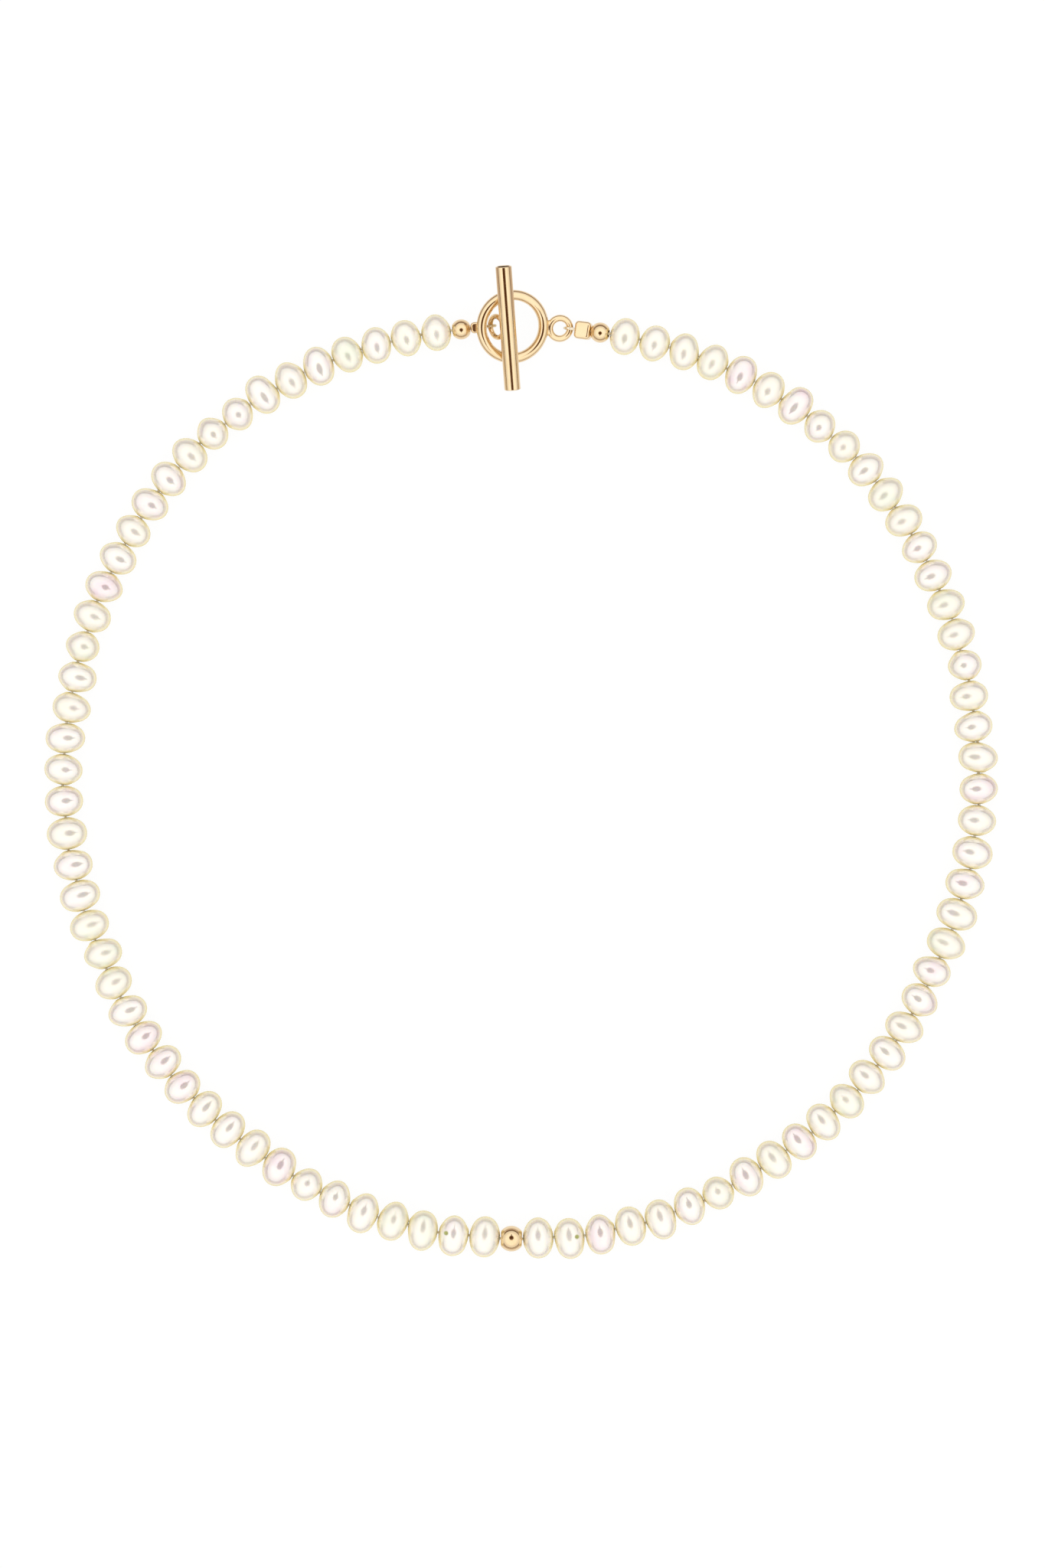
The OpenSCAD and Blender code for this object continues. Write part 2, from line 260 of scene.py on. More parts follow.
def gold_material(look):
    """Gold-filled brass, tumbled and polished: pale warm metal with faint haze and hairlines."""
    material, tree = new_material("polished_gold_filled")
    place = add_node(tree, "ShaderNodeTexCoord").outputs["Object"]
    bore = add_node(tree, "ShaderNodeAttribute", attribute_name="bore").outputs["Fac"]
    haze = add_node(
        tree,
        "ShaderNodeTexNoise",
        inputs={"Scale": PER_MM / 1.6, "Detail": 4.0, "Roughness": 0.6},
        links={"Vector": place},
    ).outputs["Fac"]
    tint = add_node(
        tree,
        "ShaderNodeMix",
        data_type="RGBA",
        inputs={"A": (*look.colour, 1.0), "B": (*look.warm, 1.0)},
        links={"Factor": haze},
    )
    # The bore of the bar is coloured dark brown
    bore_browned = add_node(
        tree,
        "ShaderNodeMix",
        data_type="RGBA",
        inputs={"B": (*look.bore, 1.0)},
        links={"Factor": bore, "A": tint.outputs["Result"]},
    )
    duller, shinier = look.polish + 0.07, look.polish - 0.03
    polish = add_node(
        tree,
        "ShaderNodeMapRange",
        inputs={"From Min": 0.3, "From Max": 0.75, "To Min": shinier, "To Max": duller},
        links={"Value": haze},
    ).outputs["Result"]
    # Hairlines from wear, drawn a tenth of a millimetre wide so that they show
    hairlines = add_node(
        tree,
        "ShaderNodeTexNoise",
        inputs={"Scale": PER_MM / 0.25, "Detail": 3.0, "Roughness": 0.7, "Distortion": 1.5},
        links={"Vector": place},
    ).outputs["Fac"]
    bump = add_node(
        tree,
        "ShaderNodeBump",
        inputs={"Strength": 0.12, "Distance": 0.004 * MM},
        links={"Height": hairlines},
    ).outputs["Normal"]
    shader = add_node(
        tree,
        "ShaderNodeBsdfPrincipled",
        inputs={"Metallic": 1.0},
        links={"Base Color": bore_browned.outputs["Result"], "Roughness": polish, "Normal": bump},
    )
    close_material(tree, shader.outputs["BSDF"])
    return material


def wire_material(look):
    """Nylon-coated cable of fine twisted strands: a soft metal shine broken by its lay."""
    material, tree = new_material("coated_beading_wire")
    place = add_node(tree, "ShaderNodeTexCoord").outputs["Object"]
    # The strands' lay repeats about every 0.3 mm, and the bands between the strands are painted darker as shade in
    # their grooves
    lay = add_node(
        tree,
        "ShaderNodeTexWave",
        inputs={"Scale": PER_MM / 0.3 / 20, "Distortion": 0.8, "Detail": 1.0},
        links={"Vector": place},
        wave_type="BANDS",
        bands_direction="DIAGONAL",
    ).outputs["Fac"]
    # Painted shade: the colour darkens in the grooves between the strands
    tint = add_node(
        tree,
        "ShaderNodeMix",
        data_type="RGBA",
        inputs={"A": (*look.dark, 1.0), "B": (*look.colour, 1.0)},
        links={"Factor": lay},
    )
    bump = add_node(
        tree,
        "ShaderNodeBump",
        inputs={"Strength": 0.4, "Distance": 0.03 * MM},
        links={"Height": lay},
    ).outputs["Normal"]
    shader = add_node(
        tree,
        "ShaderNodeBsdfPrincipled",
        inputs={"Metallic": 1.0, "Roughness": 0.3, "Coat Weight": 0.6, "Coat Roughness": 0.2},
        links={"Base Color": tint.outputs["Result"], "Normal": bump},
    )
    close_material(tree, shader.outputs["BSDF"])
    return material


# How far from metal and nacre the card turns from bright to dim in them, in metres
CARD_NEAR = 6 * MM
CARD_FAR = 14 * MM
# Brightness of the card where it is seen as plain white, and the colour of its fibres
CARD_GLOW = 1.03
CARD_FIBRE = "#E9E9E7"


def floor_material(look):
    """Matt white card, lit evenly: it keeps a faint shadow."""
    material, tree = new_material("matt_white_card")
    place = add_node(tree, "ShaderNodeTexCoord").outputs["Object"]
    fibre = add_node(
        tree,
        "ShaderNodeTexNoise",
        inputs={"Scale": PER_MM / 2.0, "Detail": 4.0},
        links={"Vector": place},
    ).outputs["Fac"]
    tint = add_node(
        tree,
        "ShaderNodeMix",
        data_type="RGBA",
        inputs={"A": (*look.floor, 1.0), "B": linear(CARD_FIBRE)},
        links={"Factor": fibre},
    ).outputs["Result"]
    card = add_node(tree, "ShaderNodeBsdfDiffuse", links={"Color": tint})
    path = add_node(tree, "ShaderNodeLightPath")
    shine = add_node(
        tree,
        "ShaderNodeMath",
        operation="MAXIMUM",
        links={0: path.outputs["Is Glossy Ray"], 1: path.outputs["Is Transmission Ray"]},
    ).outputs[0]
    shine = add_node(
        tree,
        "ShaderNodeMath",
        operation="MULTIPLY",
        inputs={1: look.shine},
        links={0: shine},
    ).outputs[0]
    share = add_node(
        tree,
        "ShaderNodeMath",
        operation="MULTIPLY",
        inputs={1: look.white},
        links={0: path.outputs["Is Camera Ray"]},
    ).outputs[0]
    share = add_node(tree, "ShaderNodeMath", operation="MAXIMUM", links={0: share, 1: shine}).outputs[0]
    # Metal and nacre see the card bright close by and dimmer far off, where the tent's edge shades it
    close = add_node(
        tree,
        "ShaderNodeMapRange",
        inputs={"From Min": CARD_NEAR, "From Max": CARD_FAR, "To Min": 1.0, "To Max": 0.0},
        links={"Value": path.outputs["Ray Length"]},
        interpolation_type="SMOOTHSTEP",
    ).outputs["Result"]
    close = add_node(
        tree,
        "ShaderNodeMath",
        operation="MAXIMUM",
        links={0: close, 1: path.outputs["Is Camera Ray"]},
    ).outputs[0]
    glow = add_node(
        tree,
        "ShaderNodeMix",
        data_type="RGBA",
        inputs={"A": (*look.far, 1.0), "B": (CARD_GLOW, CARD_GLOW, CARD_GLOW, 1.0)},
        links={"Factor": close},
    ).outputs["Result"]
    white = add_node(tree, "ShaderNodeEmission", links={"Color": glow})
    mixed = add_node(
        tree,
        "ShaderNodeMixShader",
        links={0: share, 1: card.outputs["BSDF"], 2: white.outputs["Emission"]},
    )
    close_material(tree, mixed.outputs["Shader"])
    return material


# How far from a piece the hood starts to show in it, and shows in full, in metres
HOOD_NEAR = 45 * MM
HOOD_FAR = 55 * MM


# Glow of the hood's velvet, dark in the middle and painted lighter towards its edge where the tent would light it,
# by the share of the way from its middle to its edge
HOOD_RAMP = ((0.0, "#4C2B12"), (0.72, "#6B4A30"), (1.0, "#D6CCBE"))


def hood_material(look):
    """Dark brown velvet round the lens, drawn as a glow: paler towards its edge, painted light where the tent
    would light it.
    """
    material, tree = new_material("brown_velvet_hood")
    place = add_node(tree, "ShaderNodeTexCoord").outputs["Object"]
    flat = add_node(
        tree,
        "ShaderNodeVectorMath",
        operation="MULTIPLY",
        inputs={1: (1.0, 1.0, 0.0)},
        links={0: place},
    ).outputs["Vector"]
    out = add_node(tree, "ShaderNodeVectorMath", operation="LENGTH", links={0: flat}).outputs["Value"]
    share = add_node(
        tree,
        "ShaderNodeMath",
        operation="DIVIDE",
        inputs={1: look.flag},
        links={0: out},
    ).outputs[0]
    ramp = add_node(tree, "ShaderNodeValToRGB", links={"Fac": share})
    set_ramp(ramp, [(at, linear(code)) for at, code in HOOD_RAMP])
    glow = add_node(tree, "ShaderNodeEmission", links={"Color": ramp.outputs["Color"]})
    # A clasp that is lifted up to the hood doesn't see what is close to it
    off = add_node(
        tree,
        "ShaderNodeMapRange",
        inputs={"From Min": HOOD_NEAR, "From Max": HOOD_FAR},
        links={"Value": add_node(tree, "ShaderNodeLightPath").outputs["Ray Length"]},
    ).outputs["Result"]
    clear = add_node(tree, "ShaderNodeBsdfTransparent")
    mixed = add_node(
        tree,
        "ShaderNodeMixShader",
        links={0: off, 1: clear.outputs["BSDF"], 2: glow.outputs["Emission"]},
    )
    close_material(tree, mixed.outputs["Shader"])
    return material


def material_of(name, maker, look):
    """The material of that name, made once."""
    return bpy.data.materials.get(name) or maker(look)


# ---- Mesh work, in millimetres ----

# How close to its place an edge is taken for a rim, and the faces across a rim's rounding
RIM_NEAR = 100 * MERGE
RIM_STEPS = 3


def arc(middle, radius, start, stop, steps):
    """Points (axial, radial) on an arc, angles in radians from the axis, both ends included."""
    return [
        (middle[0] + radius * math.cos(a), middle[1] + radius * math.sin(a))
        for a in (start + (stop - start) * k / steps for k in range(steps + 1))
    ]


def spin_outline(bm, outline, steps):
    """Spins a closed outline of (axial, radial) points once round the X axis."""
    points = [bm.verts.new((x, r, 0)) for x, r in outline]
    edges = [bm.edges.new(pair) for pair in zip(points, points[1:] + points[:1])]
    bmesh.ops.spin(
        bm,
        geom=points + edges,
        cent=(0, 0, 0),
        axis=(1, 0, 0),
        angle=math.tau,
        steps=steps,
        use_merge=True,
    )


def round_edges(bm, edges, offset, steps):
    """Rounds these edges, offset back from them on each side."""
    bmesh.ops.bevel(
        bm,
        geom=edges,
        offset=offset,
        offset_type="OFFSET",
        segments=steps,
        profile=0.5,
        affect="EDGES",
        material=-1,
    )


def bevel_rims(bm, places, offset):
    """Rounds the circular edges that stand at these (axial, radial) places."""

    def there(vert):
        return any(
            math.hypot(vert.co.x - x, math.hypot(vert.co.y, vert.co.z) - r) < RIM_NEAR
            for x, r in places
        )

    rims = [
        e
        for e in bm.edges
        if all(there(v) for v in e.verts)
        and abs(e.verts[0].co.x - e.verts[1].co.x) < MERGE
        and abs(math.hypot(*e.verts[0].co.yz) - math.hypot(*e.verts[1].co.yz)) < RIM_NEAR
    ]
    round_edges(bm, rims, offset, RIM_STEPS)


def basis(x_way, y_way, place):
    """The matrix that puts X and Y along two square directions at a place."""
    z_way = x_way.cross(y_way)
    turned = Matrix((x_way, y_way, z_way)).transposed().to_4x4()
    return Matrix.Translation(place) @ turned


def sweep(bm, stations, sides):
    """Draws a circle along the stations, each a middle and a radius, and closes its ends."""
    middles = [m for m, _ in stations]
    ways = [
        (middles[min(i + 1, len(middles) - 1)] - middles[max(i - 1, 0)]).normalized()
        for i in range(len(middles))
    ]
    turn = UP.rotation_difference(ways[0])
    frames = []
    for i, (middle, radius) in enumerate(stations):
        if i:
            turn = ways[i - 1].rotation_difference(ways[i]) @ turn
        frames.append(Matrix.Translation(middle) @ turn.to_matrix().to_4x4() @ Matrix.Scale(radius, 4))
    made = bmesh.ops.create_circle(bm, segments=sides, radius=1.0, matrix=frames[0])
    ring = list({e for v in made["verts"] for e in v.link_edges})
    bmesh.ops.edgeloop_fill(bm, edges=ring)
    for before, after in zip(frames, frames[1:]):
        drawn = bmesh.ops.extrude_edge_only(bm, edges=ring)["geom"]
        verts = [g for g in drawn if isinstance(g, bmesh.types.BMVert)]
        ring = [g for g in drawn if isinstance(g, bmesh.types.BMEdge)]
        bmesh.ops.transform(bm, matrix=after @ before.inverted(), verts=verts)
        kept = set(verts)
        ring = [e for e in ring if e.verts[0] in kept and e.verts[1] in kept]
    bmesh.ops.edgeloop_fill(bm, edges=ring)


def weigh_normals(mesh):
    """Lets the larger faces at a corner lead its shading, so flats and tubes stay true up to their edges."""
    sums = [Vector() for _ in mesh.vertices]
    for face in mesh.polygons:
        for i in face.vertices:
            sums[i] += face.area * face.normal
    mesh.normals_split_custom_set_from_vertices([s.normalized() for s in sums])


def add_piece(name, bm, material, body, node):
    """Finishes a mesh made in millimetres as an object that rides on its body for its CAD node."""
    bmesh.ops.remove_doubles(bm, verts=bm.verts, dist=MERGE)
    bmesh.ops.recalc_face_normals(bm, faces=bm.faces)
    bmesh.ops.scale(bm, vec=(MM, MM, MM), verts=bm.verts)
    for face in bm.faces:
        face.smooth = True
    mesh = bpy.data.meshes.new(name)
    bm.to_mesh(mesh)
    bm.free()
    weigh_normals(mesh)
    mesh.materials.append(material)
    piece = bpy.data.objects.new(name, mesh)
    bpy.context.scene.collection.objects.link(piece)
    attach(piece, body)
    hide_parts(node)
    return piece


# ---- Pearls ----

# How far from the drilled hole a pearl's side still turns to meet the wire squarely
SHIFT_REACH = 1.5
# How far from the wire two neighbours stay all but touching
TOUCH = 0.9
# Where along a pearl's half width it starts to taper to its thinner end
TAPER_START = 0.15
# Faces across the eased edge of a hole
LIP_STEPS = 3
# The painted cream reflection on a pearl's low sides: where it starts and how fast it comes, over the pearl's half
# height
PAINTED_RIM_TOP = 0.7
PAINTED_RIM_FADE = 0.5
# Pearls with a pit: side, number, and where it is along the wire and across it, in millimetres
PITS = {("left", 2): (1.05, 0.35), ("right", 2): (1.05, 0.2)}
PIT_RADIUS = 0.4
PIT_DEPTH = 0.1
PIT_FINENESS = 3
# The start of the run of chances, so that each build makes the same pearls
SEED = 11


def smooth(t):
    """Smooth step from 0 to 1."""
    t = min(max(t, 0.0), 1.0)
    return t * t * (3 - 2 * t)


def oval(half_w, half_l, end):
    """An oval's sizes, with round ends and flatter sides: end radius and middle, side radius and its turn."""
    end_r = end * half_l
    end_at = half_w - end_r
    side_r = (end_at**2 + half_l**2 - end_r**2) / (2 * (half_l - end_r))
    return end_r, end_at, side_r, math.asin(end_at / (side_r - end_r))


def pearl_outline(half_w, half_l, look, fineness):
    """A drilled pearl's closed outline round the wire: rounded end, flatter side, eased lip and the hole."""
    end_r, end_at, side_r, meet = oval(half_w, half_l, look.end)
    hole_r = look.hole * PER_MM / 2
    lip = look.lip * PER_MM
    start = math.asin((hole_r + lip) / side_r)
    side = arc((half_l - side_r, 0), side_r, start, meet, look.side_steps * fineness)
    end = arc((0, end_at), end_r, meet, math.pi / 2, look.end_steps * fineness)
    lip_x = side[0][0] - lip
    eased = arc((lip_x, hole_r + lip), -lip, math.pi / 2, math.pi, LIP_STEPS)[:-1]
    half = eased + side + end[1:]
    return half + [(-x, r) for x, r in reversed(half[:-1])]


def oval_radius(y, half_w, half_l, look):
    """How far a pearl's skin stands from its long axis, y along that axis."""
    end_r, end_at, side_r, meet = oval(half_w, half_l, look.end)
    y = abs(y)
    if y < side_r * math.sin(meet):
        return half_l - side_r + math.sqrt(side_r**2 - y**2)
    return math.sqrt(max(end_r**2 - (y - end_at) ** 2, 0.0))


def make_pearl(side, number, look, material, chance):
    """One drilled pearl on its stretch of wire: an oval that lies flat, a little uneven."""
    pair = (number + 1) // 2
    start, end = corner(side, pair - 1), corner(side, pair)
    way = (end - start).normalized()
    inward = UP.cross(way) if side == "right" else way.cross(UP)
    first = 2 * pair - 2
    along = PEARL_GAP / 2 + sum(SORTS[ORDER[i]][0] + PEARL_GAP for i in range(first, number - 1))
    length, outer, inner = SORTS[ORDER[number - 1]]
    lean = math.radians(PEARL_LEAN * math.sin(math.radians(LEAN_STEP * (number - 1))))
    lean += math.radians(chance.uniform(-look.tilt, look.tilt))
    off = (inner - outer) / 2
    middle = start + (along + length / 2) * way + off * inward
    own_way = math.cos(lean) * way + math.sin(lean) * inward
    own_in = math.cos(lean) * inward - math.sin(lean) * way

    half_w, half_l = (outer + inner) / 2, length / 2
    pit = PITS.get((side, number))
    fineness = PIT_FINENESS if pit else 1
    bm = bmesh.new()
    spin_outline(bm, pearl_outline(half_w, half_l, look, fineness), look.spin_steps * fineness)
    bmesh.ops.remove_doubles(bm, verts=bm.verts, dist=MERGE)
    painted_rim = bm.verts.layers.float.new("painted_rim")
    overtone = bm.verts.layers.float.new("overtone")
    pitted = bm.verts.layers.float.new("pit")
    tone = chance.uniform(0.2, 0.8)
    narrow = chance.choice((-1, 1)) * chance.uniform(0.0, look.egg)
    spot = Vector([chance.uniform(-50, 50) for _ in range(3)])
    hole_r = look.hole * PER_MM / 2
    lip_r = hole_r + look.lip * PER_MM
    for vert in bm.verts:
        p = vert.co
        around = math.hypot(p.y, p.z)
        open_side = smooth((around - hole_r) / SHIFT_REACH)
        # Drawn in from a round cake to an oval that is as thick as it is long
        if around > lip_r:
            from_axis = max(math.hypot(p.x, p.z), MERGE)
            drawn = oval_radius(p.y, half_w, half_l, look) / from_axis
            p = Vector((p.x * drawn, p.y, p.z * drawn))
        lump = 0.5 + 0.5 * noise.noise(spot + p * look.lump_rate)
        shrink = 1 - look.lumps * lump * open_side
        thin = 1 - abs(narrow) * smooth(p.y / half_w * math.copysign(1, narrow) - TAPER_START)
        if pit and p.z > 0:
            near = 1 - math.hypot(p.x - pit[0], p.y - pit[1]) / PIT_RADIUS
            vert[pitted] = smooth(near * 2)
            shrink -= PIT_DEPTH / half_w * smooth(near)
        # The low sides get the painted cream reflection of the rim
        vert[painted_rim] = smooth((PAINTED_RIM_TOP - p.z / half_l) / PAINTED_RIM_FADE)
        vert[overtone] = tone
        near_hole = 1 - smooth((around - lip_r) / SHIFT_REACH)
        shift = -(off + p.x * math.sin(lean)) / math.cos(lean) * near_hole
        full = 1 + 2 * look.fill * PER_MM / length * (1 - smooth((around - TOUCH) / SHIFT_REACH))
        vert.co = Vector((p.x * shrink * thin * full, p.y * shrink + shift, p.z * shrink * thin))
    placed = Matrix((own_way, own_in, UP)).transposed().to_4x4()
    bmesh.ops.transform(bm, matrix=Matrix.Translation(middle) @ placed, verts=bm.verts)
    body = f"{side}_pearls_{pair:02d}"
    add_piece(f"pearl_{side}_{number:02d}", bm, material, body, f"pearls_{side}_{pair:02d}")


class PearlSettings(PropertyGroup):
    """Shape and colours of the pearls"""

    hole: FloatProperty(
        name="Hole", description="Diameter of the drilled hole", default=0.8 * MM, min=0.0005, unit="LENGTH"
    )
    lip: FloatProperty(
        name="Hole lip",
        description="Easing of the hole's edge",
        default=0.05 * MM,
        min=0.00001,
        unit="LENGTH",
    )
    end: FloatProperty(
        name="End roundness",
        description="Radius of the far ends over half the length",
        default=0.92,
        min=0.7,
        max=0.98,
    )
    fill: FloatProperty(
        name="Fill",
        description="How far each drilled side reaches into the gap beside it",
        default=0.02 * MM,
        min=0.0,
        max=0.07 * MM,
        unit="LENGTH",
    )
    tilt: FloatProperty(
        name="Tilt",
        description="Degrees that a pearl leans more or less than its solid",
        default=1.5,
        min=0.0,
        max=5.0,
    )
    egg: FloatProperty(
        name="Egg",
        description="Most that one end of a pearl is thinner than the other",
        default=0.16,
        min=0.0,
        max=0.3,
    )
    lumps: FloatProperty(
        name="Unevenness",
        description="Most that a pearl falls short of its solid",
        default=0.04,
        min=0.0,
        max=0.1,
    )
    lump_rate: FloatProperty(
        name="Lumps per mm", description="How close the lumps lie", default=0.3, min=0.05, max=2.0
    )
    gloss: FloatProperty(
        name="Satin",
        description="Roughness of the nacre under its clear layers",
        default=0.2,
        min=0.05,
        max=1.0,
    )
    spin_steps: IntProperty(
        name="Facets round", description="Faces round each pearl", default=48, min=12, max=128
    )
    side_steps: IntProperty(
        name="Facets on a side", description="Faces from hole to end", default=6, min=3, max=32
    )
    end_steps: IntProperty(
        name="Facets on an end", description="Faces on each end of the outline", default=6, min=2, max=32
    )
    cream: FloatVectorProperty(
        name="Cream", description="Body colour", subtype="COLOR", size=3, default=linear("#F8F2EC")[:3]
    )
    ivory: FloatVectorProperty(
        name="Ivory", description="Warmer body colour", subtype="COLOR", size=3, default=linear("#F8F2E6")[:3]
    )
    pink: FloatVectorProperty(
        name="Pink", description="Pink overtone", subtype="COLOR", size=3, default=linear("#F2DDE4")[:3]
    )
    green: FloatVectorProperty(
        name="Green", description="Green overtone", subtype="COLOR", size=3, default=linear("#E9F0DC")[:3]
    )
    # Colour of the painted rim reflection on the low sides, not the nacre's own
    painted_rim: FloatVectorProperty(
        name="Painted rim",
        description="Creamier colour low on the sides",
        subtype="COLOR",
        size=3,
        default=linear("#F8ECBE")[:3],
    )
    pit: FloatVectorProperty(
        name="Pit", description="Bare matter in a pit", subtype="COLOR", size=3, default=linear("#A9AC66")[:3]
    )


class NECKLACE_OT_pearls(Operator):
    """Make the eighty-six drilled pearls"""

    bl_idname = "necklace.pearls"
    bl_label = "Pearls"

    def execute(self, context):
        look = context.scene.necklace_pearls
        material = material_of("freshwater_nacre", nacre_material, look)
        chance = random.Random(SEED)
        for side in SIDES:
            for number in range(1, PEARLS + 1):
                make_pearl(side, number, look, material, chance)
        return {"FINISHED"}


# ---- Gold beads and crimp tubes ----


def wire_end(side):
    """Where a side's straight end of wire starts, its direction, and how far on its loop's middle is."""
    start = corner(side, PAIRS)
    swing = "clasp_ring_swing" if side == "right" else "clasp_bar_swing"
    way = joint_at(swing) - start
    return start, way.normalized(), way.length


def make_bead(name, body, middle, way, diameter, length, look, material):
    """A hollow bead: a ball with flattened ends, rounded edges and a wall of sheet metal."""
    r, half_l, wall, hole_r = diameter / 2, length / 2, look.wall * PER_MM, look.hole * PER_MM / 2
    outer_end = math.sqrt(r * r - half_l * half_l)
    inner_r, inner_l = r - wall, half_l - wall
    inner_end = math.sqrt(inner_r * inner_r - inner_l * inner_l)
    turn = math.atan2(outer_end, half_l)
    outer = arc((0, 0), r, turn, math.pi - turn, look.bead_steps)
    turn = math.atan2(inner_end, inner_l)
    inner = arc((0, 0), inner_r, math.pi - turn, turn, look.bead_steps)
    outline = outer + [(-half_l, hole_r), (-inner_l, hole_r)] + inner + [(inner_l, hole_r), (half_l, hole_r)]
    bm = bmesh.new()
    spin_outline(bm, outline, look.round_steps)
    bmesh.ops.remove_doubles(bm, verts=bm.verts, dist=MERGE)
    bevel_rims(bm, [(half_l, outer_end), (-half_l, outer_end)], look.edge * PER_MM)
    bevel_rims(bm, [(half_l, hole_r), (-half_l, hole_r)], look.edge * PER_MM / 2)
    side_way = UP.cross(way).normalized()
    bmesh.ops.transform(bm, matrix=basis(way, side_way, middle), verts=bm.verts)
    add_piece(f"{name}_gold", bm, material, body, name)


class GoldSettings(PropertyGroup):
    """Sizes and colours of the gold beads, crimp tubes and clasp"""

    wall: FloatProperty(
        name="Bead wall",
        description="Sheet thickness of the beads",
        default=0.22 * MM,
        min=0.0001,
        unit="LENGTH",
    )
    hole: FloatProperty(
        name="Bead hole",
        description="Diameter of the beads' holes",
        default=1.0 * MM,
        min=0.0005,
        unit="LENGTH",
    )
    edge: FloatProperty(
        name="Edge", description="Rounding of the edges", default=0.1 * MM, min=0.00001, unit="LENGTH"
    )
    front_d: FloatProperty(
        name="Front bead", description="Its diameter", default=3.5 * MM, min=0.001, unit="LENGTH"
    )
    front_l: FloatProperty(
        name="Front bead length", description="On the wire", default=2.85 * MM, min=0.001, unit="LENGTH"
    )
    end_d: FloatProperty(
        name="End beads", description="Their diameter", default=2.75 * MM, min=0.001, unit="LENGTH"
    )
    end_l: FloatProperty(
        name="End bead length", description="On the wire", default=2.4 * MM, min=0.001, unit="LENGTH"
    )
    crimp_right: FloatVectorProperty(
        name="Right crimp",
        description="Its width and height",
        size=2,
        default=(2.4 * MM, 1.8 * MM),
        min=0.0005,
        unit="LENGTH",
    )
    crimp_left: FloatVectorProperty(
        name="Left crimp",
        description="Its width and height",
        size=2,
        default=(1.5 * MM, 1.5 * MM),
        min=0.0005,
        unit="LENGTH",
    )
    crimp_edge: FloatProperty(
        name="Crimp edges",
        description="Radius round the top and bottom faces",
        default=0.4 * MM,
        min=0.0001,
        unit="LENGTH",
    )
    crimp_end: FloatProperty(
        name="Crimp corners",
        description="Radius of the upright corners",
        default=0.5 * MM,
        min=0.0001,
        unit="LENGTH",
    )
    ring_d: FloatProperty(
        name="Ring", description="Outside diameter", default=10.0 * MM, min=0.001, unit="LENGTH"
    )
    ring_wire: FloatProperty(
        name="Ring wire", description="Its thickness", default=1.4 * MM, min=0.0005, unit="LENGTH"
    )
    ring_eye_d: FloatProperty(
        name="Ring's eye", description="Outside diameter", default=3.7 * MM, min=0.001, unit="LENGTH"
    )
    ring_eye_wire: FloatProperty(
        name="Ring eye wire", description="Its thickness", default=0.9 * MM, min=0.0005, unit="LENGTH"
    )
    bar_d: FloatProperty(
        name="Bar", description="Outside diameter", default=2.2 * MM, min=0.0005, unit="LENGTH"
    )
    bar_wall: FloatProperty(
        name="Bar wall", description="Its thickness", default=0.25 * MM, min=0.0001, unit="LENGTH"
    )
    bar_eye_d: FloatProperty(
        name="Bar's eye", description="Outside diameter", default=3.6 * MM, min=0.001, unit="LENGTH"
    )
    bar_eye_wire: FloatProperty(
        name="Bar eye wire", description="Its thickness", default=0.7 * MM, min=0.0003, unit="LENGTH"
    )
    polish: FloatProperty(
        name="Polish", description="Roughness of the metal", default=0.09, min=0.04, max=1.0
    )
    round_steps: IntProperty(
        name="Facets round", description="Faces round each bead, tube and ring", default=64, min=12, max=256
    )
    bead_steps: IntProperty(
        name="Facets on a bead", description="Faces from end to end", default=20, min=4, max=64
    )
    colour: FloatVectorProperty(
        name="Gold", description="Metal colour", subtype="COLOR", size=3, default=linear("#F0DAB6")[:3]
    )
    warm: FloatVectorProperty(
        name="Warm gold", description="Warmer patches", subtype="COLOR", size=3, default=linear("#E9CB9C")[:3]
    )
    # Dark brown colour inside the bar's bore
    bore: FloatVectorProperty(
        name="Bore",
        description="Darkened metal inside the bar",
        subtype="COLOR",
        size=3,
        default=linear("#7A4A22")[:3],
    )


class NECKLACE_OT_gold_beads(Operator):
    """Make the front bead and the two end beads"""

    bl_idname = "necklace.gold_beads"
    bl_label = "Gold beads"

    def execute(self, context):
        look = context.scene.necklace_gold
        material = material_of("polished_gold_filled", gold_material, look)
        sizes = look.front_d * PER_MM, look.front_l * PER_MM
        middle = joint_at("front_bead_spin")
        make_bead("front_bead", "front_bead", middle, Vector((1, 0, 0)), *sizes, look, material)
        for side in SIDES:
            way = wire_end(side)[1]
            middle = joint_at(f"{side}_end_bead_spin")
            sizes = look.end_d * PER_MM, look.end_l * PER_MM
            make_bead(f"{side}_end_bead", f"{side}_end_bead", middle, way, *sizes, look, material)
        return {"FINISHED"}


# Faces across a crimp's rounded edge and round each end of its slot, and metal left over the slot
CORNER_STEPS = 5
SLOT_STEPS = 12
SLOT_ROOM = 0.03


